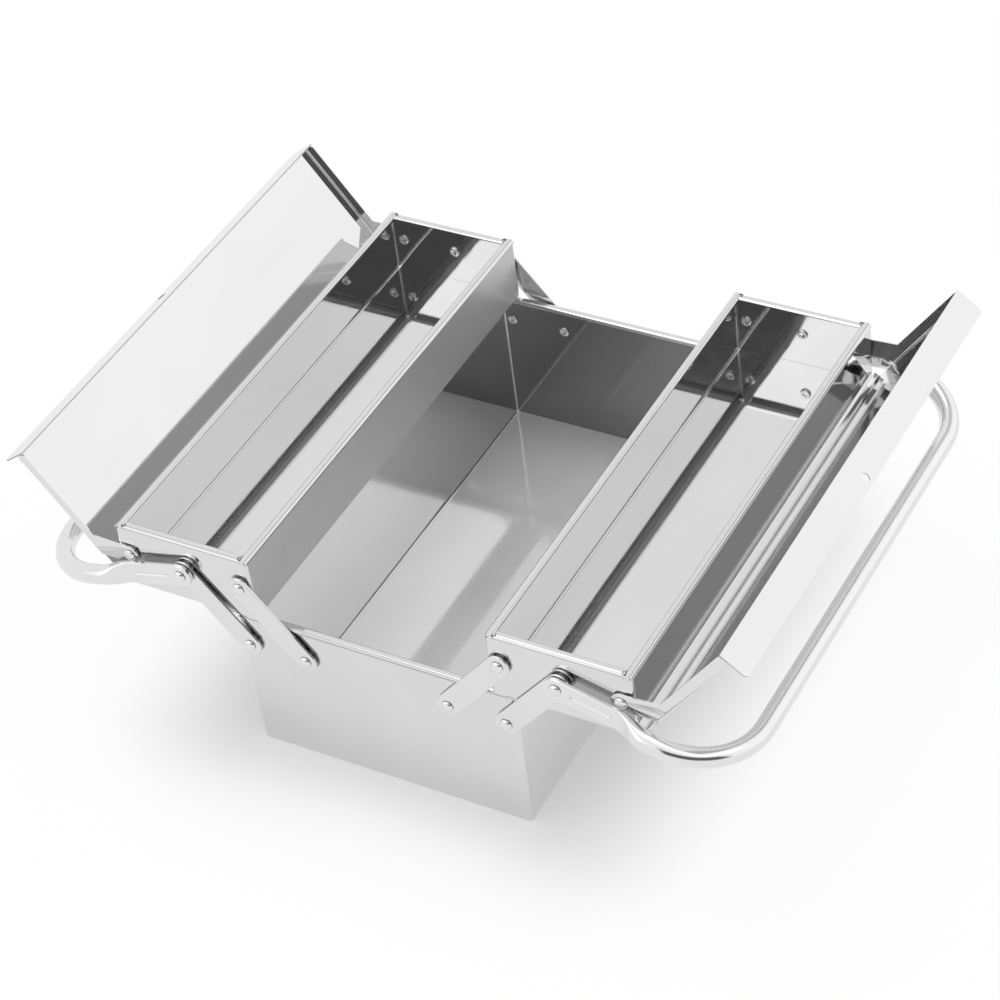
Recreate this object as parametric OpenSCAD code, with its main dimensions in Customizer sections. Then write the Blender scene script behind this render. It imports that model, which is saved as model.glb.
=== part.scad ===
// Cantilever tool box of folded stainless sheet, shown open as in the photograph.
// X runs across the box, Y along it, Z up. The origin is the centre of the base's underside.

/* [Sheet] */
// Thickness of the sheet metal
sheet_t = 0.8; // [0.6:0.1:1]
// Inside radius of the main folds
fold_r = 1.6; // [1.2:0.1:2]
// Width of the hem along the top edges
hem_w = 6; // [5:0.5:9]
// Depth of the hem's turned-down edge
hem_return = 3; // [2.6:0.2:5]
// Inside radius of the hem's turned-down edge
hem_r = 0.6; // [0.4:0.1:1]

/* [Base] */
// Width of the base box
base_w = 200; // [190:5:260]
// Length of the base box and of both trays
box_l = 355; // [250:5:600]
// Height of the base box
base_h = 110; // [100:5:140]
// Height of the base pivots above the ground
base_pivot_h = 87.6; // [82:0.2:90]

/* [Trays] */
// How much narrower a tray is than half of the base
tray_short = 0.4; // [0:0.1:2]
// Height of each tray
tray_h = 48.6; // [44:0.2:60]
// How far each tray travels sideways between closed and open
tray_travel = 82; // [70:0.2:84]
// Height of the link pivots above the tray's underside
tray_pivot_h = 26.4; // [22:0.2:30]
// Height of the lid pivot above the tray's underside
lid_pivot_h = 26.6; // [24:0.2:30]
// Distance of the inner pivot from the tray's inner side
inner_pivot_inset = 8.2; // [8:0.1:12]
// Distance of the outer link's pivot from the tray's outer side
outer_pivot_inset = 50; // [49:0.2:54]
// Distance of the lid pivot from the tray's outer side
lid_pivot_inset = 8.6; // [8:0.1:10]

/* [Links] */
// Width of a link
link_w = 16; // [12:0.5:17]
// Thickness of a link
link_t = 1.5; // [1:0.1:2.5]

/* [Lids] */
// Angle through which a lid opens
lid_open_angle = 126.8; // [100:0.2:127]
// How far the seam strips stand up above the lids
strip_h = 13.2; // [12:0.2:16]
// Depth of the lid's turned-down outer edge
lid_edge_d = 4.6; // [3:0.1:5]
// Depth of the lid's turned-down ends
lid_end_d = 8; // [6:0.2:9]
// Radius of the lid's ear round its pivot
lid_ear_r = 6.8; // [6:0.1:8]
// Distance from the pivot to where the ear's inner edge leaves the lid's end
ear_root = 22; // [18:0.5:30]
// Distance from the pivot to where the lid's turned-down end stops
ear_outer = 8; // [6:0.5:12]
// Radius of the corner at the seam end of the lid's turned-down ends
lid_corner_r = 3.5; // [2:0.5:5]
// Radius of the padlock hole in the seam strips
lock_hole_r = 3.1; // [2:0.1:3.4]
// Distance of the padlock hole above the lid's outer face
lock_hole_h = 7.6; // [6:0.1:8.4]

/* [Handles] */
// Diameter of the handle tube
handle_d = 13; // [10:0.5:16]
// Distance from the handle's pivot to the middle of its bar
handle_reach = 119; // [105:1:160]
// Radius of the handle's bends at the tube's centre
handle_bend_r = 48.5; // [30:0.5:50]
// Angle below level at which an opened handle stops
handle_drop_angle = 14.5; // [0:0.1:30]
// Width of the handle's flattened end
handle_flat_w = 16.4; // [14:0.2:18]
// Thickness of the handle's flattened end
handle_flat_t = 2.8; // [2:0.1:4]
// Length of the flattened stretch beyond the pivot
handle_flat_l = 40; // [30:1:42]
// Length over which the flat end swells into the round tube
handle_swell_l = 22; // [15:1:24]

/* [Rivets] */
// Radius of a rivet's shank
rivet_r = 2; // [1.5:0.1:2.5]
// Radius of a rivet's domed head
rivet_head_r = 4.2; // [3.5:0.1:5]
// Height of a rivet's domed head
rivet_head_h = 1.9; // [1.2:0.1:2.4]
// Height of a lid rivet's low head
lid_head_h = 1.5; // [1:0.1:1.6]
// Radius of a rivet's upset tail
rivet_tail_r = 3.8; // [3:0.1:4.5]
// Height of a rivet's upset tail
rivet_tail_h = 1.3; // [0.8:0.1:2]
// Radius of the spacing washers
washer_r = 5.4; // [4.5:0.1:6.5]
// Thickness of the washers under the links
link_washer_t = 1; // [0.8:0.1:1.5]
// Thickness of the washers under the handles and the lids
thin_washer_t = 0.8; // [0.6:0.1:0.8]

/* [Hidden] */
// Gap between faces that slide past each other
face_gap = 0.3;
// Gap between pieces that are welded or set into each other
fit_gap = 0.1;
// Radial clearance of every pivot hole
pivot_play = 0.05;
// Gap left where a lid swings past a tray's edge
swing_gap = 0.2;
// Half of the gap between the two sides of the closed box
seam_half_gap = 0.5;
// How far a cutting shape runs past the face that it cuts
overrun = 1;
// Facets of a drawn circle, and of one inside a hull
round_fn = 96;
hull_fn = 32;
// Radius of the corners of the seam strips
strip_corner_r = 4;
// Width and depth of the groove pressed into the handle's flattened end
groove_w = 2.4;
groove_d = 0.9;
// Where that groove starts beyond the pivot
groove_start = 9;

half_l = box_l / 2;
tray_w = base_w / 2 - tray_short;
// Outside radius of a main fold and of a hem's turned-down edge
corner = fold_r + sheet_t;
hem_corner = hem_r + sheet_t;
pivot_hole_r = rivet_r + pivot_play;

// The lid, measured from its pivot: along the lid towards the seam, and up to its faces.
// Its inner face clears the tray's outer top corner, which it swings past.
lid_rise = tray_h - lid_pivot_h;
lid_inner_w = norm([lid_pivot_inset - corner, lid_rise - corner]) + corner + swing_gap;
lid_outer_w = lid_inner_w + sheet_t;
lid_edge_u = -(lid_pivot_inset + face_gap + sheet_t);
lid_low_w = lid_outer_w - lid_end_d;
tray_inner_u = tray_w - lid_pivot_inset;
// The seam strip's lower edge swings past the tray's inner top corner
seam_swing_r = norm([tray_inner_u - corner, lid_rise - corner]) + corner + swing_gap;
strip_u = sqrt(pow(seam_swing_r, 2) - pow(lid_low_w, 2));
lid_seam_u = strip_u + sheet_t;
panel_end_u = strip_u - fit_gap;

// Where the right tray stands when open and when closed
tray_z = base_h + face_gap;
tray_closed_x = seam_half_gap + lid_seam_u - tray_inner_u;
tray_open_x = tray_closed_x + tray_travel;

// Pivots on the right side, as distances across the box and heights
pivot_z = tray_z + tray_pivot_h;
inner_pivot_x = tray_open_x + inner_pivot_inset;
handle_pivot_x = tray_open_x + tray_w - outer_pivot_inset;
lid_pivot_x = tray_open_x + tray_inner_u;
lid_pivot_z = tray_z + lid_pivot_h;
base_inner_x = inner_pivot_x - tray_travel / 2;
base_outer_x = handle_pivot_x - tray_travel / 2;
link_rise = pivot_z - base_pivot_h;
link_l = norm([tray_travel / 2, link_rise]);
swing_half = atan2(tray_travel / 2, link_rise);

// Layers outside an end wall, as distances from its outer face
link_y = fit_gap + link_washer_t + face_gap;
link_head_y = link_y + link_t + face_gap;
handle_washer_y = link_y + link_t + face_gap;
handle_y = handle_washer_y + thin_washer_t + face_gap;
handle_head_y = handle_y + handle_flat_t + face_gap;
lid_plate_y = fit_gap + thin_washer_t + face_gap;
lid_head_y = lid_plate_y + sheet_t + face_gap;
lid_half_l = half_l + lid_plate_y + sheet_t;
panel_half_l = lid_half_l - corner;
handle_arm_y = half_l + handle_y + handle_d / 2;

// The handle closes until its bar meets the other one over the seam
bar_closed_x = handle_d / 2 + face_gap;
handle_closed_x = handle_pivot_x - tray_travel;
handle_closed_angle = 180 - acos((handle_closed_x - bar_closed_x) / handle_reach);
handle_travel = handle_closed_angle + handle_drop_angle;

// Where the line from a point touches a circle round the origin, on one side of it
function tangent(p, r, side) =
  let (a = atan2(p[1], p[0]) + side * acos(r / norm(p))) [r * cos(a), r * sin(a)];

// A flat outline drawn across the box, given a thickness along the box
module across(y, t) {
  translate([0, y + t, 0]) rotate([90, 0, 0]) linear_extrude(t) children();
}

// A flat outline drawn along the box, given a width across the box
module along(x, w) {
  translate([x, 0, 0]) rotate([90, 0, 90]) linear_extrude(w) children();
}

module both_ends() {
  children();
  mirror([0, 1, 0]) children();
}

module left_side() {
  mirror([1, 0, 0]) children();
}

// A folded corner of sheet, its centre at the origin and its arc up and to the right
module quarter_bend(r) {
  intersection() {
    difference() {
      circle(r + sheet_t, $fn = round_fn);
      circle(r, $fn = round_fn);
    }
    square(r + sheet_t);
  }
}

// Section of a hem: the wall's top folded in and its edge turned down
module hem_section(h) {
  translate([corner, h - corner]) mirror([1, 0]) quarter_bend(fold_r);
  translate([corner, h - sheet_t]) square([hem_w - hem_corner - corner, sheet_t]);
  translate([hem_w - hem_corner, h - hem_corner]) quarter_bend(hem_r);
  translate([hem_w - sheet_t, h - hem_return]) square([sheet_t, hem_return - hem_corner]);
}

// Floor and two long sides folded from one sheet, its inner side at X = 0
module folded_body(w, h) {
  side_l = box_l - 2 * (corner + fit_gap);
  floor_l = box_l - 2 * (sheet_t + fit_gap);
  across(-floor_l / 2, floor_l) translate([corner, 0]) square([w - 2 * corner, sheet_t]);
  across(-side_l / 2, side_l) for (side = [0, 1]) translate([side * w, 0]) mirror([side, 0]) {
    translate([corner, corner]) mirror([1, 0]) mirror([0, 1]) quarter_bend(fold_r);
    translate([0, corner]) square([sheet_t, h - 2 * corner]);
  }
  across(-half_l, box_l) for (side = [0, 1]) {
    translate([side * w, 0]) mirror([side, 0]) hem_section(h);
  }
}

// End wall with upright folded corners and a hem between the hems of the long sides
module front_wall(w, h) {
  plate_h = h - hem_return - fit_gap;
  hem_start = hem_w + fit_gap;
  ear_end = hem_w - sheet_t - fit_gap;
  across(-half_l, sheet_t) translate([corner, 0]) square([w - 2 * corner, plate_h]);
  for (side = [0, 1]) translate([side * w, 0, 0]) mirror([side, 0, 0]) {
    intersection() {
      translate([corner, corner - half_l, 0]) mirror([1, 0, 0]) mirror([0, 1, 0])
        linear_extrude(h - corner - fit_gap) quarter_bend(fold_r);
      across(-half_l, corner) {
        translate([0, corner]) square([corner, h]);
        translate([corner, corner]) circle(corner, $fn = round_fn);
      }
    }
    across(-half_l, sheet_t) translate([corner, plate_h])
      square([ear_end - corner, h - sheet_t - fit_gap - plate_h]);
  }
  translate([0, -half_l, 0]) along(hem_start, w - 2 * hem_start) {
    translate([0, corner]) square([sheet_t, h - 2 * corner]);
    hem_section(h);
  }
}

// Holes through an end wall at the given places
module wall_holes(places) {
  for (p = places) translate([p[0], overrun - half_l, p[1]]) rotate([90, 0, 0])
    cylinder(r = pivot_hole_r, h = sheet_t + 2 * overrun, center = true, $fn = round_fn);
}

base_pivots = [[base_inner_x, base_pivot_h], [base_outer_x, base_pivot_h]];
tray_pivots = [
  [inner_pivot_x, pivot_z], [handle_pivot_x, pivot_z], [lid_pivot_x, lid_pivot_z]
];

module base_front() {
  difference() {
    translate([-base_w / 2, 0, 0]) front_wall(base_w, base_h);
    wall_holes(base_pivots);
    left_side() wall_holes(base_pivots);
  }
}

module tray_front() {
  difference() {
    translate([tray_open_x, 0, tray_z]) front_wall(tray_w, tray_h);
    wall_holes(tray_pivots);
  }
}

// Washers and rivets stand on an end wall, at a distance from its outer face
module washer(p, y, t) {
  translate([p[0], half_l + y + t, p[1]]) rotate([90, 0, 0]) difference() {
    cylinder(r = washer_r, h = t, $fn = round_fn);
    translate([0, 0, -overrun]) cylinder(r = pivot_hole_r, h = t + 2 * overrun, $fn = round_fn);
  }
}

module rivet(p, head_y, head_h) {
  foot = sheet_t + fit_gap + rivet_tail_h;
  dome_r = (pow(rivet_head_r, 2) + pow(head_h, 2)) / (2 * head_h);
  translate([p[0], half_l, p[1]]) rotate([-90, 0, 0]) {
    translate([0, 0, -foot]) cylinder(r = rivet_r, h = foot + head_y, $fn = round_fn);
    translate([0, 0, -foot]) cylinder(r = rivet_tail_r, h = rivet_tail_h, $fn = round_fn);
    translate([0, 0, head_y]) intersection() {
      cylinder(r = rivet_head_r, h = head_h, $fn = round_fn);
      translate([0, 0, head_h - dome_r]) sphere(dome_r, $fn = round_fn);
    }
  }
}

module link(x) {
  across(half_l + link_y, link_t) translate([x, base_pivot_h]) rotate(-swing_half) difference() {
    union() {
      translate([-link_w / 2, 0]) square([link_w, link_l]);
      for (s = [0, link_l]) translate([0, s]) circle(link_w / 2, $fn = round_fn);
    }
    for (s = [0, link_l]) translate([0, s]) circle(pivot_hole_r, $fn = round_fn);
  }
}

// Puts what is drawn along a closed lid, from its pivot, where the open lid stands
module on_open_lid() {
  translate([lid_pivot_x, 0, lid_pivot_z]) rotate([0, lid_open_angle, 0])
    mirror([1, 0, 0]) children();
}

// Outline of a lid's turned-down end with the ear that reaches its pivot
module lid_end_outline() {
  top_w = lid_outer_w - corner;
  inner_p = [ear_root, lid_low_w];
  outer_p = [ear_outer, top_w];
  edge_r = lid_ear_r - fit_gap;
  difference() {
    union() {
      translate([ear_outer, lid_low_w + lid_corner_r])
        square([panel_end_u - ear_outer, top_w - lid_low_w - lid_corner_r]);
      translate([ear_root, lid_low_w])
        square([panel_end_u - lid_corner_r - ear_root, lid_corner_r]);
      translate([panel_end_u - lid_corner_r, lid_low_w + lid_corner_r])
        circle(lid_corner_r, $fn = round_fn);
      polygon([inner_p, [ear_root, top_w], outer_p,
        tangent(outer_p, edge_r, 1), tangent(inner_p, edge_r, -1)]);
      circle(lid_ear_r, $fn = round_fn);
    }
    circle(pivot_hole_r, $fn = round_fn);
  }
}

module lid_panel() {
  on_open_lid() {
    across(-panel_half_l, 2 * panel_half_l) {
      translate([lid_edge_u + corner, lid_inner_w])
        square([panel_end_u - lid_edge_u - corner, sheet_t]);
      translate([lid_edge_u + corner, lid_outer_w - corner]) mirror([1, 0]) quarter_bend(fold_r);
      translate([lid_edge_u, lid_outer_w - lid_edge_d]) square([sheet_t, lid_edge_d - corner]);
    }
    both_ends() {
      along(ear_outer, panel_end_u - ear_outer)
        translate([panel_half_l, lid_outer_w - corner]) quarter_bend(fold_r);
      across(lid_half_l - sheet_t, sheet_t) lid_end_outline();
    }
  }
}

module seam_strip() {
  top_w = lid_outer_w + strip_h;
  on_open_lid() difference() {
    along(strip_u, sheet_t) {
      translate([-lid_half_l, lid_low_w]) square([2 * lid_half_l, top_w - strip_corner_r - lid_low_w]);
      translate([strip_corner_r - lid_half_l, top_w - strip_corner_r])
        square([2 * (lid_half_l - strip_corner_r), strip_corner_r]);
      for (side = [-1, 1]) translate([side * (lid_half_l - strip_corner_r), top_w - strip_corner_r])
        circle(strip_corner_r, $fn = round_fn);
    }
    translate([strip_u - overrun, 0, lid_outer_w + lock_hole_h]) rotate([0, 90, 0])
      cylinder(r = lock_hole_r, h = sheet_t + 2 * overrun, $fn = round_fn);
  }
}

// One arm of the handle, from its flattened end to the bend, along X from the pivot
module handle_arm() {
  tube_r = handle_d / 2;
  round_start = handle_flat_l + handle_swell_l;
  bend_x = handle_reach - handle_bend_r;
  outer_y = half_l + handle_y + handle_flat_t;
  difference() {
    across(half_l + handle_y, handle_flat_t) difference() {
      union() {
        circle(handle_flat_w / 2, $fn = round_fn);
        translate([0, -handle_flat_w / 2]) square([handle_flat_l, handle_flat_w]);
      }
      circle(pivot_hole_r, $fn = round_fn);
    }
    translate([groove_start, outer_y + groove_w / 2 - groove_d, 0]) rotate([0, 90, 0])
      cylinder(r = groove_w / 2, h = handle_flat_l - groove_start - groove_w, $fn = round_fn);
  }
  hull() {
    across(half_l + handle_y, handle_flat_t)
      translate([handle_flat_l - fit_gap, -handle_flat_w / 2]) square([fit_gap, handle_flat_w]);
    translate([round_start - fit_gap, handle_arm_y, 0]) rotate([0, 90, 0])
      cylinder(r = tube_r, h = fit_gap, $fn = hull_fn);
  }
  translate([round_start, handle_arm_y, 0]) rotate([0, 90, 0])
    cylinder(r = tube_r, h = bend_x - round_start, $fn = round_fn);
  translate([bend_x, handle_arm_y - handle_bend_r, 0]) rotate_extrude(angle = 90, $fn = round_fn)
    translate([handle_bend_r, 0]) circle(tube_r, $fn = round_fn);
}

module handle() {
  bar_half = handle_arm_y - handle_bend_r;
  translate([handle_pivot_x, 0, pivot_z]) rotate([0, handle_drop_angle, 0]) {
    both_ends() handle_arm();
    translate([handle_reach, bar_half, 0]) rotate([90, 0, 0])
      cylinder(r = handle_d / 2, h = 2 * bar_half, $fn = round_fn);
  }
}

module base_washer_set() {
  for (p = base_pivots) washer(p, fit_gap, link_washer_t);
}

module base_rivet_set() {
  for (p = base_pivots) rivet(p, link_head_y, rivet_head_h);
}

module base_body() {
  color("silver") translate([-base_w / 2, 0, 0]) folded_body(base_w, base_h);
}
module base_front_end() { color("lightgray") base_front(); }
module base_rear_end() { color("lightgray") mirror([0, 1, 0]) base_front(); }
module base_washers() {
  color("gray") both_ends() {
    base_washer_set();
    left_side() base_washer_set();
  }
}
module base_rivets() {
  color("dimgray") both_ends() {
    base_rivet_set();
    left_side() base_rivet_set();
  }
}

module right_tray_body() {
  color("silver") translate([tray_open_x, 0, tray_z]) folded_body(tray_w, tray_h);
}
module right_tray_front_end() { color("lightgray") tray_front(); }
module right_tray_rear_end() { color("lightgray") mirror([0, 1, 0]) tray_front(); }
module right_inner_link_rivets() {
  color("dimgray") both_ends() rivet(tray_pivots[0], link_head_y, rivet_head_h);
}
module right_handle_rivets() {
  color("dimgray") both_ends() rivet(tray_pivots[1], handle_head_y, rivet_head_h);
}
module right_lid_rivets() {
  color("dimgray") both_ends() rivet(tray_pivots[2], lid_head_y, lid_head_h);
}
module right_link_washers() {
  color("gray") both_ends() for (i = [0, 1]) washer(tray_pivots[i], fit_gap, link_washer_t);
}
module right_handle_washers() {
  color("gray") both_ends() washer(tray_pivots[1], handle_washer_y, thin_washer_t);
}
module right_lid_washers() {
  color("gray") both_ends() washer(tray_pivots[2], fit_gap, thin_washer_t);
}
module right_rear_outer_link() { color("gainsboro") link(base_outer_x); }
module right_rear_inner_link() { color("gainsboro") link(base_inner_x); }
module right_front_outer_link() { mirror([0, 1, 0]) right_rear_outer_link(); }
module right_front_inner_link() { mirror([0, 1, 0]) right_rear_inner_link(); }
module right_lid_panel() { color("whitesmoke") lid_panel(); }
module right_lid_seam_strip() { color("darkgray") seam_strip(); }
module right_handle() { color("slategray") handle(); }

module left_tray_body() { left_side() right_tray_body(); }
module left_tray_front_end() { left_side() right_tray_front_end(); }
module left_tray_rear_end() { left_side() right_tray_rear_end(); }
module left_inner_link_rivets() { left_side() right_inner_link_rivets(); }
module left_handle_rivets() { left_side() right_handle_rivets(); }
module left_lid_rivets() { left_side() right_lid_rivets(); }
module left_link_washers() { left_side() right_link_washers(); }
module left_handle_washers() { left_side() right_handle_washers(); }
module left_lid_washers() { left_side() right_lid_washers(); }
module left_front_outer_link() { left_side() right_front_outer_link(); }
module left_rear_outer_link() { left_side() right_rear_outer_link(); }
module left_front_inner_link() { left_side() right_front_inner_link(); }
module left_rear_inner_link() { left_side() right_rear_inner_link(); }
module left_lid_panel() { left_side() right_lid_panel(); }
module left_lid_seam_strip() { left_side() right_lid_seam_strip(); }
module left_handle() { left_side() right_handle(); }

base_body();
base_front_end();
base_rear_end();
base_washers();
base_rivets();
right_tray_body();
right_tray_front_end();
right_tray_rear_end();
right_inner_link_rivets();
right_handle_rivets();
right_lid_rivets();
right_link_washers();
right_handle_washers();
right_lid_washers();
right_front_outer_link();
right_rear_outer_link();
right_front_inner_link();
right_rear_inner_link();
right_lid_panel();
right_lid_seam_strip();
right_handle();
left_tray_body();
left_tray_front_end();
left_tray_rear_end();
left_inner_link_rivets();
left_handle_rivets();
left_lid_rivets();
left_link_washers();
left_handle_washers();
left_lid_washers();
left_front_outer_link();
left_rear_outer_link();
left_front_inner_link();
left_rear_inner_link();
left_lid_panel();
left_lid_seam_strip();
left_handle();
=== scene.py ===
import math

import bmesh
import bpy
from mathutils import Matrix, Vector


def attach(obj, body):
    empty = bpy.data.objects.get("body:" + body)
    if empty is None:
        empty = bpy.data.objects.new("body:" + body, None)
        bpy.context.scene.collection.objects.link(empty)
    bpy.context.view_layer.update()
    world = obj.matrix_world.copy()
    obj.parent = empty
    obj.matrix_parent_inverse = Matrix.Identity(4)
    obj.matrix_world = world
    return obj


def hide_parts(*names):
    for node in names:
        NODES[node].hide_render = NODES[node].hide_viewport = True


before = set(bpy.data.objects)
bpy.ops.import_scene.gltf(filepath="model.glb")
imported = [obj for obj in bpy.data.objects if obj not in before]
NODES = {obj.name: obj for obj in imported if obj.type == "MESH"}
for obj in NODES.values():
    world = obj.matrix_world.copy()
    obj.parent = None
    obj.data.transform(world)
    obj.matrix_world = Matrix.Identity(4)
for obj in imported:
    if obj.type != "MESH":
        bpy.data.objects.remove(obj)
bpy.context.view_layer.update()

MM = 0.001
SIDES = (("right", 1), ("left", -1))
ENDS = (("front", -1), ("rear", 1))

# Sizes of the part in millimetres, as its CAD source has them
HALF_L = 177.5
SHEET_T = 0.8
BASE_W = 200.0
BASE_H = 110.0
TRAY_TOP = 158.9
TRAY_INNER_X = 84.268
TRAY_W = 99.6
HEM_W = 6.0
BASE_PIVOTS_X = (51.468, 92.868)
BASE_PIVOT_Z = 87.6
INNER_PIVOT_X = 92.468
HANDLE_PIVOT_X = 133.868
PIVOT_Z = 136.7
LID_PIVOT = (175.268, 136.9)
LID_LEAN = math.radians(180 - 126.8)
HOLE_R = 2.05
RIVET_R = 2.0
HEAD_H = 1.9
LID_HEAD_H = 1.5
LINK_HEAD_Y = 3.2
HANDLE_HEAD_Y = 7.4
LID_HEAD_Y = 2.3
LINK_W = 16.0
LINK_T = 1.5
LINK_Y = 1.4
HANDLE_Y = 4.3
HANDLE_R = 6.5
HANDLE_REACH = 119.0
HANDLE_BEND_R = 48.5
HANDLE_DROP = math.radians(14.5)
FLAT_W = 16.4
FLAT_T = 2.8
FLAT_L = 40.0
SWELL_L = 22.0
GROOVE_W = 2.4
GROOVE_D = 0.9

# Detail that only this script has, in millimetres; the curls' turns are in degrees, and
# they shrink and taper by shares
LINK_EDGE = 0.4
GROOVE_START = 8.6
GROOVE_END = 38.0
GROOVE_FADE = 1.8
CURL_R = 1.5
CURL_T = 0.38
CURL_IN = 2.1
CURL_FROM = -70
CURL_TURN = 250
CURL_SHRINK = 0.35
CURL_TIP = 0.35

# Where the finishes of single faces reach, in millimetres from the rim or the wall
TRAY_HEM_DEPTH = 4.0
TRAY_HEM_INSET = 3.0
BASE_HEM_DEPTH = 7.0
LID_EAR_DEPTH = 5.0

# Least part of its normal along an axis for a face to count as facing that way
FACING = 0.9

# How finely the turned and drawn forms are divided
RIVET_SIDES = 40
BORE_SIDES = 48
LINK_END_STEPS = 32
LINK_EDGE_STEPS = 4
CORNER_STEPS = 7
SWELL_STEPS = 16
BEND_STEPS = 24
BAR_STEPS = 6
CURL_STEPS = 14
CURL_SIDES = 8


# Materials
class Shader:
    """A material's node tree, with short calls for the nodes used here."""

    def __init__(self, name):
        self.material = bpy.data.materials.new(name)
        self.material.use_nodes = True
        self.tree = self.material.node_tree
        self.bsdf = self.tree.nodes["Principled BSDF"]
        self.place = self.tree.nodes.new("ShaderNodeTexCoord").outputs["Object"]

    def node(self, kind, inputs=None, **settings):
        made = self.tree.nodes.new(kind)
        for key, value in settings.items():
            setattr(made, key, value)
        for key, value in (inputs or {}).items():
            if isinstance(value, bpy.types.NodeSocket):
                self.tree.links.new(value, made.inputs[key])
            else:
                made.inputs[key].default_value = value
        return made

    def link(self, output, name):
        self.tree.links.new(output, self.bsdf.inputs[name])

    def stretched(self, scale):
        mapping = self.node("ShaderNodeMapping", {"Vector": self.place, "Scale": scale})
        return mapping.outputs["Vector"]

    def noise(self, vector, scale, detail, rough, distort=0.0):
        return self.node("ShaderNodeTexNoise", {
            "Vector": vector, "Scale": scale, "Detail": detail,
            "Roughness": rough, "Distortion": distort,
        }).outputs["Fac"]

    def remap(self, value, low, high, to_low, to_high, smooth=False):
        return self.node("ShaderNodeMapRange", {
            "Value": value, "From Min": low, "From Max": high,
            "To Min": to_low, "To Max": to_high,
        }, interpolation_type="SMOOTHSTEP" if smooth else "LINEAR").outputs["Result"]

    def spread(self, noise, to_low, to_high):
        """Spreads the range where a noise mostly lies over another range."""
        return self.remap(noise, 0.3, 0.7, to_low, to_high)

    def math(self, how, a, b=0.0):
        return self.node("ShaderNodeMath", {0: a, 1: b}, operation=how).outputs[0]

    def mix(self, share, a, b):
        mixed = self.node("ShaderNodeMix", {"Factor": share, "A": a, "B": b}, data_type="RGBA")
        return mixed.outputs["Result"]

    def bump(self, height, depth, **before):
        """A bump of a depth in millimetres, on top of the normal given before it, if any."""
        inputs = {"Height": height, "Strength": 1.0, "Distance": depth * MM, **before}
        return self.node("ShaderNodeBump", inputs).outputs["Normal"]


def grey(level):
    return (level, level, level, 1)


def steel(name, level, rough, rough_spread,
          wave=0.0, wave_scale=9, grain=(1, 1, 1), grain_depth=0.0):
    """Bright steel: rolled grain, hazy wipe marks and, where asked, a slightly wavy sheet."""
    s = Shader(name)
    wipe = s.noise(s.stretched((1, 0.35, 1)), scale=14, detail=3, rough=0.55, distort=0.6)
    fine = s.noise(s.stretched(grain), scale=900, detail=2, rough=0.6)
    haze = s.noise(s.place, scale=46, detail=4, rough=0.6, distort=1.1)
    tone = s.math("ADD", s.math("MULTIPLY", wipe, 0.8), s.math("MULTIPLY", fine, 0.2))
    s.link(s.mix(s.spread(tone, 0, 1), grey(level * 0.975), grey(level * 1.025)), "Base Color")
    s.bsdf.inputs["Metallic"].default_value = 1.0
    s.link(s.spread(haze, rough, rough + rough_spread), "Roughness")
    before = {}
    if wave:
        swell = s.noise(s.stretched((1, 0.5, 1)), wave_scale, detail=1.5, rough=0.45)
        before["Normal"] = s.bump(swell, wave)
    if grain_depth:
        before["Normal"] = s.bump(fine, grain_depth, **before)
    if before:
        s.link(before["Normal"], "Normal")
    return s.material


def satin(name, level, metallic, rough, rough_spread):
    """The same sheet with a matt film on it, which scatters light and mirrors weakly."""
    s = Shader(name)
    wipe = s.noise(s.stretched((1, 0.4, 1)), scale=12, detail=3, rough=0.55, distort=0.5)
    haze = s.noise(s.place, scale=40, detail=4, rough=0.6, distort=1.0)
    s.link(s.mix(s.spread(wipe, 0, 1), grey(level * 0.97), grey(level * 1.03)), "Base Color")
    s.link(s.spread(haze, rough, rough + rough_spread), "Roughness")
    s.bsdf.inputs["Metallic"].default_value = metallic
    swell = s.noise(s.stretched((1, 0.5, 1)), scale=10, detail=1.5, rough=0.45)
    s.link(s.bump(swell, 0.25), "Normal")
    return s.material


ALONG = (1, 0.02, 1)
SHEET_STEEL = {
    "base": steel("base_sheet", 0.68, 0.04, 0.035, wave=0.3, grain=ALONG),
    "tray": steel("tray_sheet", 0.70, 0.035, 0.035, wave=0.26, grain=ALONG),
    "tray_end": steel("tray_end_sheet", 0.70, 0.04, 0.03, wave=0.42, wave_scale=26, grain=ALONG),
    "lid": steel("lid_sheet", 0.73, 0.045, 0.045, wave=0.35, grain=ALONG),
}
# Painted shade: a darker copy of the sheet for the inside of the base's rear wall
REAR_SHADED_STEEL = steel("base_rear_painted_shade", 0.30, 0.04, 0.035, wave=0.4, wave_scale=14, grain=ALONG)
FLOOR_STEEL = satin("base_floor_sheet", 0.93, 0.38, 0.05, 0.05)
FILM_STEEL = satin("tray_side_sheet", 0.56, 0.5, 0.3, 0.08)
HEM_STEEL = satin("hem_inside", 0.7, 0.35, 0.4, 0.1)
# Painted shade: the rolled ends are painted almost black for the dark marks at the rims' corners
CURL_SHADE_STEEL = steel("rolled_end_painted_shade", 0.14, 0.35, 0.15, grain_depth=0.01)
# Painted shade: darker copies of the sheet on the outer folds of the front rims, which tone down
# their highlight
FRONT_RIM_SHADED_STEEL = steel("front_rim_fold_painted_shade", 0.57, 0.05, 0.04, grain=ALONG)
BASE_RIM_SHADED_STEEL = steel("base_rim_fold_painted_shade", 0.45, 0.05, 0.04, grain=ALONG)
# Painted shade: a dark, rough copy of the sheet for the right lid's rear ear
EAR_SHADED_STEEL = steel("lid_ear_painted_shade", 0.27, 0.28, 0.05, grain=ALONG)
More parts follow.
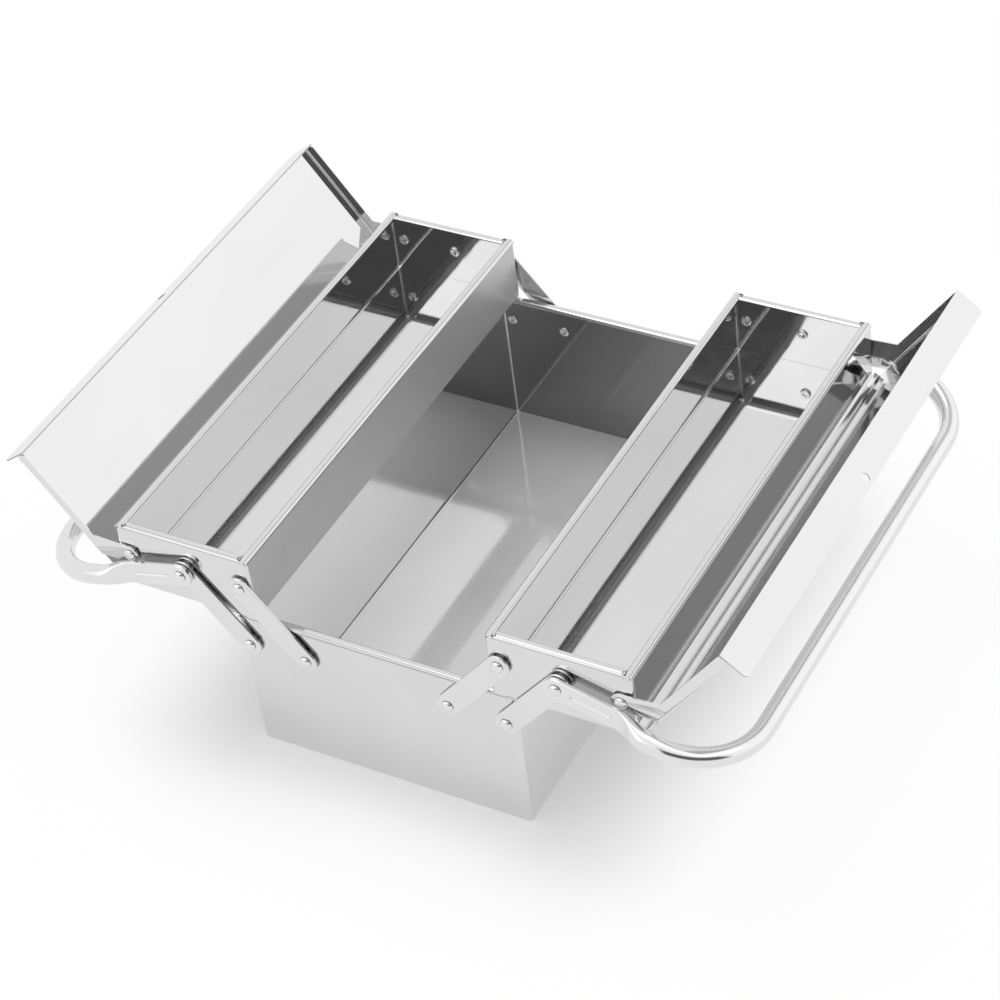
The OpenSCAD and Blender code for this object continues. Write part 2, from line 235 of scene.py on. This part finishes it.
# The sheared edges are rough like cut steel, and are painted darker, a painted shade for the dark
# line along the seam between lid panel and strip
CUT_EDGE_AND_SHADE_STEEL = steel("sheared_edge_and_painted_shade", 0.4, 0.3, 0.15, grain_depth=0.01)
LINK_STEEL = steel("link_strip", 0.74, 0.16, 0.1, grain=(0.3, 1, 0.3), grain_depth=0.002)
HANDLE_STEEL = steel("handle_tube", 0.76, 0.1, 0.08, grain=(1, 0.05, 1), grain_depth=0.001)
RIVET_STEEL = steel("rivet_heads", 0.76, 0.12, 0.1, wave=0.05, grain_depth=0.002)
WASHER_STEEL = steel("washer_rings", 0.6, 0.2, 0.12, grain_depth=0.003)


# Finish of the CAD nodes
def node_material(name):
    if name.endswith("rivets"):
        return RIVET_STEEL
    if name.endswith("washers"):
        return WASHER_STEEL
    if name.endswith("_link"):
        return LINK_STEEL
    if name.endswith("_handle"):
        return HANDLE_STEEL
    if "lid" in name:
        return SHEET_STEEL["lid"]
    if "tray" in name:
        return SHEET_STEEL["tray_end" if name.endswith("_end") else "tray"]
    return SHEET_STEEL["base"]


def finish_faces(node, material, chosen):
    """Gives the chosen faces of a CAD node another finish, in a slot of their own."""
    node.data.materials.append(material)
    slot = len(node.data.materials) - 1
    for face in node.data.polygons:
        if chosen(face):
            face.material_index = slot


def in_hem(face, across, to_wall, half):
    """Whether a face is a hem's underside, or the wall's side of its turned-down edge."""
    if face.center.z < (TRAY_TOP - TRAY_HEM_DEPTH) * MM:
        return False
    inside = half * MM - abs(across) > TRAY_HEM_INSET * MM
    return face.normal.z < -0.5 or (inside and to_wall * across > 0.5 * abs(across))


def on_outer_fold(face):
    """Whether a face of a front end wall is on the fold from the wall to the rim."""
    return face.normal.y < -0.1 and 0.1 < face.normal.z < 0.99


for name, node in NODES.items():
    node.data.materials.clear()
    node.data.materials.append(node_material(name))
    for face in node.data.polygons:
        face.material_index = 0

# The rear end wall's inside is painted darker than the sheet, a painted shade, and the base's floor
# has a film
finish_faces(NODES["base_rear_end"], REAR_SHADED_STEEL, lambda face: (
    face.normal.y < -FACING and face.center.z < (BASE_H - BASE_HEM_DEPTH) * MM
    and face.center.y > (HALF_L - 2 * SHEET_T) * MM))
finish_faces(NODES["base_body"], FLOOR_STEEL, lambda face: (
    face.normal.z > FACING and face.center.z < 2 * SHEET_T * MM))

for name, side in SIDES:
    # The seam strips' sheared edges face along the open lid's thickness, or along Y
    lid_normal = Vector((side * math.cos(LID_LEAN), 0, math.sin(LID_LEAN)))
    # These faces are painted darker: partly a cut edge's dull finish, partly painted shade along
    # the seam
    finish_faces(NODES[name + "_lid_seam_strip"], CUT_EDGE_AND_SHADE_STEEL, lambda face: (
        abs(face.normal.dot(lid_normal)) < 0.5))
    # The trays' outer sides that face the middle have a film
    finish_faces(NODES[name + "_tray_body"], FILM_STEEL, lambda face: (
        face.normal.x * side < -FACING and abs(face.center.x) < (TRAY_INNER_X + 0.1) * MM))
    # The hems' hidden sides were never polished
    tray_middle = (TRAY_INNER_X + TRAY_W / 2) * MM
    finish_faces(NODES[name + "_tray_body"], HEM_STEEL, lambda face: in_hem(
        face, abs(face.center.x) - tray_middle, face.normal.x * side, TRAY_W / 2))
    for place, _ in ENDS:
        finish_faces(NODES[f"{name}_tray_{place}_end"], HEM_STEEL, lambda face: in_hem(
            face, face.center.y, face.normal.y, HALF_L))

# The right lid's rear ear is painted dark and rougher than the sheet, a painted shade; the front
# rims' outer folds are painted darker than the sheet, a painted shade that tones down their
# highlight
finish_faces(NODES["right_lid_panel"], EAR_SHADED_STEEL, lambda face: (
    face.normal.y < -FACING and face.center.y > (HALF_L - LID_EAR_DEPTH) * MM))
finish_faces(NODES["right_tray_front_end"], FRONT_RIM_SHADED_STEEL, on_outer_fold)
finish_faces(NODES["left_tray_front_end"], FRONT_RIM_SHADED_STEEL, on_outer_fold)
finish_faces(NODES["base_front_end"], BASE_RIM_SHADED_STEEL, on_outer_fold)


# Mesh helpers
def mesh_of(name, points, faces):
    """A mesh from points in millimetres, with its faces turned outward."""
    mesh = bpy.data.meshes.new(name)
    mesh.from_pydata([tuple(value * MM for value in point) for point in points], [], faces)
    mesh.validate()
    bm = bmesh.new()
    bm.from_mesh(mesh)
    bmesh.ops.recalc_face_normals(bm, faces=bm.faces)
    bm.to_mesh(mesh)
    bm.free()
    return mesh


def make_piece(name, points, faces, material, body, node, sharp=50):
    """A piece that rides on a body and, where a node is named, stands for it."""
    mesh = mesh_of(name, points, faces)
    mesh.polygons.foreach_set("use_smooth", [True] * len(mesh.polygons))
    mesh.set_sharp_from_angle(angle=math.radians(sharp))
    piece = bpy.data.objects.new(name, mesh)
    bpy.context.scene.collection.objects.link(piece)
    mesh.materials.append(material)
    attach(piece, body)
    if node:
        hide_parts(node)
    return piece


def skin(faces, start, rows, count):
    """Adds the sides between neighbouring rings of points, and a flat face over each end."""
    for row in range(rows - 1):
        near, far = start + row * count, start + (row + 1) * count
        for i in range(count):
            j = (i + 1) % count
            faces.append((near + i, near + j, far + j, far + i))
    faces.append(tuple(range(start, start + count)))
    faces.append(tuple(range(start + (rows - 1) * count, start + rows * count)))


def lathe(points, faces, profile, place, end, count):
    """Adds a form turned about Y: profile rows are (radius, distance out from the wall)."""
    x, y, z = place
    rows = []
    for radius, out in profile:
        if radius == 0:
            rows.append([len(points)])
            points.append((x, end * (y + out), z))
            continue
        rows.append(list(range(len(points), len(points) + count)))
        for i in range(count):
            turn = 2 * math.pi * i / count
            points.append((x + radius * math.cos(turn), end * (y + out),
                           z + radius * math.sin(turn)))
    for upper, lower in zip(rows, rows[1:]):
        for i in range(count):
            j = (i + 1) % count
            if len(upper) == 1:
                faces.append((upper[0], lower[i], lower[j]))
            elif len(lower) == 1:
                faces.append((upper[j], upper[i], lower[0]))
            else:
                faces.append((upper[i], lower[i], lower[j], upper[j]))


def bore(piece, places):
    """Cuts round holes along Y through the piece, and keeps its flat faces flat."""
    points, faces = [], []
    hole = [(0, 0.5), (HOLE_R, 0.5), (HOLE_R, 12), (0, 12)]
    for x, z, end in places:
        lathe(points, faces, hole, (x, HALF_L, z), end, BORE_SIDES)
    cutter = bpy.data.objects.new("bore", mesh_of("bore", points, faces))
    bpy.context.scene.collection.objects.link(cutter)
    cut = piece.modifiers.new("bore", "BOOLEAN")
    cut.operation, cut.solver, cut.object = "DIFFERENCE", "EXACT", cutter
    shown = piece.evaluated_get(bpy.context.evaluated_depsgraph_get())
    mesh = bpy.data.meshes.new_from_object(shown)
    piece.modifiers.clear()
    piece.data = mesh
    bpy.data.objects.remove(cutter)
    # The sides are all quads; the flat ends have more corners, and so have cut faces
    mesh.polygons.foreach_set("use_smooth", [len(face.vertices) == 4 for face in mesh.polygons])
    mesh.set_sharp_from_angle(angle=math.radians(50))


# Rivets: a low pan head, a shank through the wall, and a tail rolled over with a dimple.
# Head rows are (radius, share of the head's height), tail rows (radius, depth inside).
HEAD_ROWS = [(0, 1.0), (1.2, 0.985), (2.1, 0.93), (2.8, 0.82), (3.4, 0.64),
             (3.85, 0.42), (4.1, 0.22), (4.2, 0.08), (4.15, 0)]
TAIL_ROWS = [(3.45, 0.9), (3.72, 1.02), (3.8, 1.25), (3.72, 1.55), (3.45, 1.85),
             (3.0, 2.09), (2.5, 2.2), (2.05, 2.16), (1.7, 2.02), (1.45, 1.86),
             (1.2, 1.76), (0.8, 1.71), (0, 1.7)]
TAIL_TOP = TAIL_ROWS[0][1]


def make_rivets(name, body, places, head_y, head_h):
    profile = [(radius, head_y + share * head_h) for radius, share in HEAD_ROWS]
    profile += [(RIVET_R, head_y), (RIVET_R, -TAIL_TOP)]
    profile += [(radius, -depth) for radius, depth in TAIL_ROWS]
    points, faces = [], []
    for x, z in places:
        for _, end in ENDS:
            lathe(points, faces, profile, (x, HALF_L, z), end, RIVET_SIDES)
    make_piece(name + "_turned", points, faces, RIVET_STEEL, body, name, sharp=40)


# Handles: one drawn form from the flat strap with its pressed groove to the round tube
END_ANGLES = (4, 12, 22, 33, 45, 57, 70, 82)
FLAT_STEPS = [0.8, 3, 6, 8.6, 9, 9.5, 10.4, 12, 18, 24, 30, 34, 36, 36.8, 37.3, 37.7, 38.4]
STRAIGHT_STEP = 66
GROOVE_SHARES = (0.02, 0.05, 0.10, 0.16, 0.25, 0.4, 0.7)
FLAT_CORNER = 0.42
CORNER_GROWTH = 0.55
TUBE_CORNER = 0.97


def ease(share):
    share = min(max(share, 0.0), 1.0)
    return share * share * (3 - 2 * share)


def handle_stations():
    """Half of the bail, from the flat end to the middle of the bar.

    Each station is (x, y, outward direction, half width, half thickness, corner, groove).
    """
    stations = []
    bend_x = HANDLE_REACH - HANDLE_BEND_R
    centre_flat = HALF_L + HANDLE_Y + FLAT_T / 2
    centre_tube = HALF_L + HANDLE_Y + HANDLE_R
    bend_y = centre_tube - HANDLE_BEND_R
    steps = [-FLAT_W / 2 * math.cos(math.radians(angle)) for angle in END_ANGLES]
    steps += FLAT_STEPS
    steps += [FLAT_L + SWELL_L * i / SWELL_STEPS for i in range(SWELL_STEPS + 1)]
    steps += [STRAIGHT_STEP, bend_x]
    for s in steps:
        swell = ease((s - FLAT_L) / SWELL_L)
        wide = FLAT_W / 2 + (HANDLE_R - FLAT_W / 2) * swell
        thick = FLAT_T / 2 + (HANDLE_R - FLAT_T / 2) * swell
        if s < 0:
            wide = math.sqrt((FLAT_W / 2) ** 2 - s * s)
        centre = centre_flat + (centre_tube - centre_flat) * swell
        corner = min(wide, thick) * (FLAT_CORNER + CORNER_GROWTH * swell)
        rise, fall = (s - GROOVE_START) / GROOVE_FADE, (GROOVE_END - s) / GROOVE_FADE
        groove = GROOVE_D * ease(rise) * ease(fall)
        stations.append((s, centre, (0.0, 1.0), wide, thick, corner, groove))
    tube = (HANDLE_R, HANDLE_R, TUBE_CORNER * HANDLE_R, 0.0)
    for i in range(1, BEND_STEPS + 1):
        turn = math.pi / 2 * i / BEND_STEPS
        out = (math.sin(turn), math.cos(turn))
        x, y = bend_x + HANDLE_BEND_R * out[0], bend_y + HANDLE_BEND_R * out[1]
        stations.append((x, y, out, *tube))
    for i in range(1, BAR_STEPS + 1):
        stations.append((HANDLE_REACH, bend_y * (1 - i / BAR_STEPS), (1.0, 0.0), *tube))
    return stations


def handle_ring(wide, thick, corner, groove):
    """One cross section, as (out from the centre line, up) pairs round it."""
    flat = wide - corner
    ring = []
    for up_sign, out_sign in ((1, 1), (1, -1), (-1, -1), (-1, 1)):
        arc = []
        for i in range(CORNER_STEPS + 1):
            turn = math.pi / 2 * i / CORNER_STEPS
            arc.append((out_sign * (thick - corner + corner * math.cos(turn)),
                        up_sign * (flat + corner * math.sin(turn))))
        ring.extend(arc if up_sign * out_sign > 0 else arc[::-1])
        if (up_sign, out_sign) == (1, -1):
            ring.extend((-thick, flat * share) for share in (0.5, -0.5))
        if (up_sign, out_sign) == (-1, 1):
            spread = [-share for share in GROOVE_SHARES[::-1]] + [0.0] + list(GROOVE_SHARES)
            for share in spread:
                up = share * flat
                sink = groove * math.sqrt(max(0.0, 1 - (up / (GROOVE_W / 2)) ** 2))
                ring.append((thick - sink, up))
    return ring


def make_handle(name, side):
    half = handle_stations()
    stations = [(station, 1) for station in half] + [(station, -1) for station in half[-2::-1]]
    cos, sin = math.cos(HANDLE_DROP), math.sin(HANDLE_DROP)
    points, faces = [], []
    for (x, y, out, *section), end in stations:
        ring = handle_ring(*section)
        for away, up in ring:
            along = x + away * out[0]
            points.append((side * (HANDLE_PIVOT_X + along * cos + up * sin),
                           end * (y + away * out[1]),
                           PIVOT_Z - along * sin + up * cos))
    skin(faces, 0, len(stations), len(ring))
    piece = make_piece(name + "_handle_drawn", points, faces, HANDLE_STEEL,
                       name + "_handle_bail", name + "_handle")
    bore(piece, [(side * HANDLE_PIVOT_X, PIVOT_Z, end) for _, end in ENDS])


def make_link(name, side, end, body, node, foot_x, top_x):
    """A flat bar with round ends and broken edges, between its two pivots."""
    foot, top = Vector((side * foot_x, BASE_PIVOT_Z)), Vector((side * top_x, PIVOT_Z))
    along = (top - foot).normalized()
    across = Vector((-along.y, along.x))
    edge = []
    for i in range(LINK_EDGE_STEPS + 1):
        turn = math.pi / 2 * i / LINK_EDGE_STEPS
        edge.append((LINK_EDGE * (1 - math.sin(turn)), LINK_EDGE * (1 - math.cos(turn))))
    rows = [(inset, LINK_Y + depth) for inset, depth in edge]
    rows += [(inset, LINK_Y + LINK_T - depth) for inset, depth in edge[::-1]]
    points, faces = [], []
    for inset, out in rows:
        outline = []
        for middle, start in ((top, 0), (foot, 180)):
            for i in range(LINK_END_STEPS + 1):
                turn = math.radians(start + 180 * i / LINK_END_STEPS)
                reach = across * math.cos(turn) + along * math.sin(turn)
                outline.append(middle + (LINK_W / 2 - inset) * reach)
        points.extend((spot.x, end * (HALF_L + out), spot.y) for spot in outline)
    skin(faces, 0, len(rows), len(outline))
    piece = make_piece(name, points, faces, LINK_STEEL, body, node)
    bore(piece, [(foot.x, foot.y, end), (top.x, top.y, end)])


def make_curls(name, side):
    """The open ends of a tray's end hems: a small curl of sheared sheet at each rim corner."""
    points, faces = [], []
    for x, facing in ((TRAY_INNER_X + HEM_W, 1), (TRAY_INNER_X + TRAY_W - HEM_W, -1)):
        for _, end in ENDS:
            start = len(points)
            for i in range(CURL_STEPS + 1):
                turn = math.radians(CURL_FROM + CURL_TURN * i / CURL_STEPS)
                curl = CURL_R * (1 - CURL_SHRINK * i / CURL_STEPS)
                thick = CURL_T * (CURL_TIP if i in (0, CURL_STEPS) else 1)
                for j in range(CURL_SIDES):
                    roll = 2 * math.pi * j / CURL_SIDES
                    reach = curl + thick * math.cos(roll)
                    points.append((side * (x + facing * reach * math.cos(turn)),
                                   end * (HALF_L - CURL_IN + reach * math.sin(turn)),
                                   TRAY_TOP + thick * math.sin(roll)))
            skin(faces, start, CURL_STEPS + 1, CURL_SIDES)
    # The curls' steel is painted almost black, a painted shade
    make_piece(name + "_tray_hem_curls", points, faces, CURL_SHADE_STEEL,
               name + "_tray", None)


base_pivots = [(side * x, BASE_PIVOT_Z) for _, side in SIDES for x in BASE_PIVOTS_X]
make_rivets("base_rivets", "base", base_pivots, LINK_HEAD_Y, HEAD_H)
for name, side in SIDES:
    for kind, x, z, head_y, head_h in (
            ("inner_link", INNER_PIVOT_X, PIVOT_Z, LINK_HEAD_Y, HEAD_H),
            ("handle", HANDLE_PIVOT_X, PIVOT_Z, HANDLE_HEAD_Y, HEAD_H),
            ("lid", *LID_PIVOT, LID_HEAD_Y, LID_HEAD_H)):
        make_rivets(f"{name}_{kind}_rivets", name + "_tray", [(side * x, z)], head_y, head_h)
for name, side in SIDES:
    make_handle(name, side)
    for place, end in ENDS:
        for kind, foot_x, top_x in (("outer", BASE_PIVOTS_X[1], HANDLE_PIVOT_X),
                                    ("inner", BASE_PIVOTS_X[0], INNER_PIVOT_X)):
            make_link(f"{name}_{place}_{kind}_bar", side, end, f"{name}_{kind}_links",
                      f"{name}_{place}_{kind}_link", foot_x, top_x)
for name, side in SIDES:
    make_curls(name, side)


# Floor, light and camera, in metres
FLOOR_REACH = 30.0
FLOOR_DROP = 0.0003
STUDIO_AIM = (0, 0, 0.1)
CAMERA_PLACE = (0.8244, -1.2511, 1.3948)
CAMERA_AHEAD = (-0.4182, 0.6284, -0.6559)
CAMERA_UP = (-0.2411, 0.6194, 0.7471)
CAMERA_LENS = 108.25
SURROUND_LIGHT = 0.78


def area_light(name, place, size, power):
    """A square soft lamp that looks at the box."""
    data = bpy.data.lights.new(name, "AREA")
    data.shape = "RECTANGLE"
    data.size, data.size_y = size, size
    data.energy = power
    lamp = bpy.data.objects.new(name, data)
    bpy.context.scene.collection.objects.link(lamp)
    lamp.location = place
    lamp.rotation_mode = "QUATERNION"
    lamp.rotation_quaternion = (Vector(STUDIO_AIM) - Vector(place)).to_track_quat("-Z", "Y")


def make_floor():
    mesh = bpy.data.meshes.new("floor")
    corners = [(x * FLOOR_REACH, y * FLOOR_REACH, -FLOOR_DROP)
               for x, y in ((-1, -1), (1, -1), (1, 1), (-1, 1))]
    mesh.from_pydata(corners, [], [(0, 1, 2, 3)])
    floor = bpy.data.objects.new("floor", mesh)
    bpy.context.scene.collection.objects.link(floor)
    s = Shader("studio_floor")
    s.bsdf.inputs["Base Color"].default_value = (0.97, 0.97, 0.97, 1)
    s.bsdf.inputs["Roughness"].default_value = 0.95
    s.bsdf.inputs["Specular IOR Level"].default_value = 0.1
    # Away from the box the floor fades into the white backdrop: it glows white in a share that
    # grows with distance from the box, a painted light over its shadow, and close to it the shadow
    # stays. Mirrors are shown the floor glowing more near the box, a painted light that lifts the
    # shadow in the box's reflections
    axes = s.node("ShaderNodeSeparateXYZ", {"Vector": s.place}).outputs
    past = [s.math("MAXIMUM", s.math("SUBTRACT", s.math("ABSOLUTE", axes[axis]), half * MM), 0.0)
            for axis, half in (("X", BASE_W / 2), ("Y", HALF_L))]
    squares = [s.math("POWER", distance, 2.0) for distance in past]
    away = s.math("SQRT", s.math("ADD", *squares))
    rays = s.node("ShaderNodeLightPath").outputs
    mirrored = s.math("MAXIMUM", rays["Is Glossy Ray"], rays["Is Transmission Ray"])
    near_view = s.remap(away, low=0.0, high=0.13, to_low=0.2, to_high=0.92, smooth=True)
    near_mirror = s.remap(away, low=0.0, high=0.08, to_low=0.45, to_high=0.92, smooth=True)
    painted_glow_share = s.math("MAXIMUM", s.math("MULTIPLY", rays["Is Camera Ray"], near_view),
                  s.math("MULTIPLY", mirrored, near_mirror))
    white = s.node("ShaderNodeEmission", {"Color": (1, 1, 1, 1), "Strength": 1.0})
    mixed = s.node("ShaderNodeMixShader", {
        0: painted_glow_share, 1: s.bsdf.outputs["BSDF"], 2: white.outputs["Emission"],
    }).outputs["Shader"]
    s.tree.links.new(mixed, s.tree.nodes["Material Output"].inputs["Surface"])
    floor.data.materials.append(s.material)


def make_world():
    """A white surround with even light, which shows a dark area below the camera and a soft box."""
    world = bpy.data.worlds.new("studio")
    bpy.context.scene.world = world
    world.use_nodes = True
    tree = world.node_tree
    nodes, links = tree.nodes, tree.links
    nodes.clear()

    def math_node(how, a, b=0.0):
        made = nodes.new("ShaderNodeMath")
        made.operation = how
        for i, value in enumerate((a, b)):
            if isinstance(value, bpy.types.NodeSocket):
                links.new(value, made.inputs[i])
            else:
                made.inputs[i].default_value = value
        return made.outputs[0]

    def ramp(value, low, high, to_low=0.0, to_high=1.0):
        made = nodes.new("ShaderNodeMapRange")
        made.interpolation_type = "SMOOTHSTEP"
        links.new(value, made.inputs["Value"])
        for key, number in (("From Min", low), ("From Max", high),
                            ("To Min", to_low), ("To Max", to_high)):
            made.inputs[key].default_value = number
        return made.outputs["Result"]

    def lobe(direction, inner, outer, strength):
        """The strength within an inner angle of a direction, falling to 0 at the outer one."""
        dot = nodes.new("ShaderNodeVectorMath")
        dot.operation = "DOT_PRODUCT"
        links.new(place, dot.inputs[0])
        dot.inputs[1].default_value = Vector(direction).normalized()
        share = ramp(dot.outputs["Value"],
                     math.cos(math.radians(outer)), math.cos(math.radians(inner)))
        return math_node("MULTIPLY", share, strength)

    def window(azimuth, half_width, low, high, edge, strength):
        """The strength inside a stretch of azimuth and elevation in degrees, with soft edges."""
        turn, half, soft = math.radians(azimuth), math.radians(half_width), math.radians(edge)
        bottom, top = math.radians(low), math.radians(high)
        ahead = math_node("ADD", math_node("MULTIPLY", x, math.cos(turn)),
                          math_node("MULTIPLY", y, math.sin(turn)))
        aside = math_node("SUBTRACT", math_node("MULTIPLY", y, math.cos(turn)),
                          math_node("MULTIPLY", x, math.sin(turn)))
        offset = math_node("ABSOLUTE", math_node("ARCTAN2", aside, ahead))
        rise = math_node("ARCSINE", z)
        inside = ramp(offset, half - soft, half + soft, 1.0, 0.0)
        inside = math_node("MULTIPLY", inside, ramp(rise, bottom - soft, bottom + soft))
        inside = math_node("MULTIPLY", inside, ramp(rise, top - soft, top + soft, 1.0, 0.0))
        return math_node("MULTIPLY", inside, strength)

    place = nodes.new("ShaderNodeTexCoord").outputs["Generated"]
    parts = nodes.new("ShaderNodeSeparateXYZ")
    links.new(place, parts.inputs[0])
    x, y, z = parts.outputs
    dark_room = window(azimuth=-50, half_width=36, low=9, high=41, edge=2.5, strength=0.88)
    grey_flag = lobe((0, 0.63, 0.78), inner=9, outer=18, strength=0.35)
    glow = lobe((0.75, 0.63, 0.25), inner=10, outer=70, strength=0.18)
    soft_box = lobe((-0.45, -0.66, 0.6), inner=10, outer=32, strength=0.65)
    level = math_node("ADD", math_node("ADD", 1.0, glow), soft_box)
    kept = math_node("SUBTRACT", 1.0, math_node("MAXIMUM", dark_room, grey_flag))
    level = math_node("MULTIPLY", level, kept)
    rays = nodes.new("ShaderNodeLightPath").outputs
    seen = math_node("MAXIMUM", rays["Is Camera Ray"], rays["Is Glossy Ray"])
    seen = math_node("MAXIMUM", seen, rays["Is Transmission Ray"])
    unseen = math_node("SUBTRACT", 1.0, seen)
    strength = math_node("ADD", math_node("MULTIPLY", seen, level),
                         math_node("MULTIPLY", unseen, SURROUND_LIGHT))
    background = nodes.new("ShaderNodeBackground")
    background.inputs["Color"].default_value = (1, 1, 1, 1)
    links.new(strength, background.inputs["Strength"])
    output = nodes.new("ShaderNodeOutputWorld")
    links.new(background.outputs["Background"], output.inputs["Surface"])


def make_camera():
    """The camera that was fitted to the photograph."""
    ahead = Vector(CAMERA_AHEAD).normalized()
    right = ahead.cross(Vector(CAMERA_UP).normalized()).normalized()
    up = right.cross(ahead)
    data = bpy.data.cameras.new("camera")
    data.sensor_width = 36.0
    data.lens = CAMERA_LENS
    data.clip_start, data.clip_end = 0.05, 100
    camera = bpy.data.objects.new("camera", data)
    bpy.context.scene.collection.objects.link(camera)
    turn = Matrix((right, up, -ahead)).transposed().to_4x4()
    camera.matrix_world = Matrix.Translation(CAMERA_PLACE) @ turn
    bpy.context.scene.camera = camera


make_floor()
make_world()
make_camera()
area_light("top", place=(-0.6, 0.5, 2.95), size=1.4, power=22)
area_light("fill", place=(1.3, -0.2, 2.75), size=2.4, power=5)

scene = bpy.context.scene
scene.view_settings.view_transform = "Standard"
scene.cycles.glossy_bounces = 12
scene.cycles.max_bounces = 16
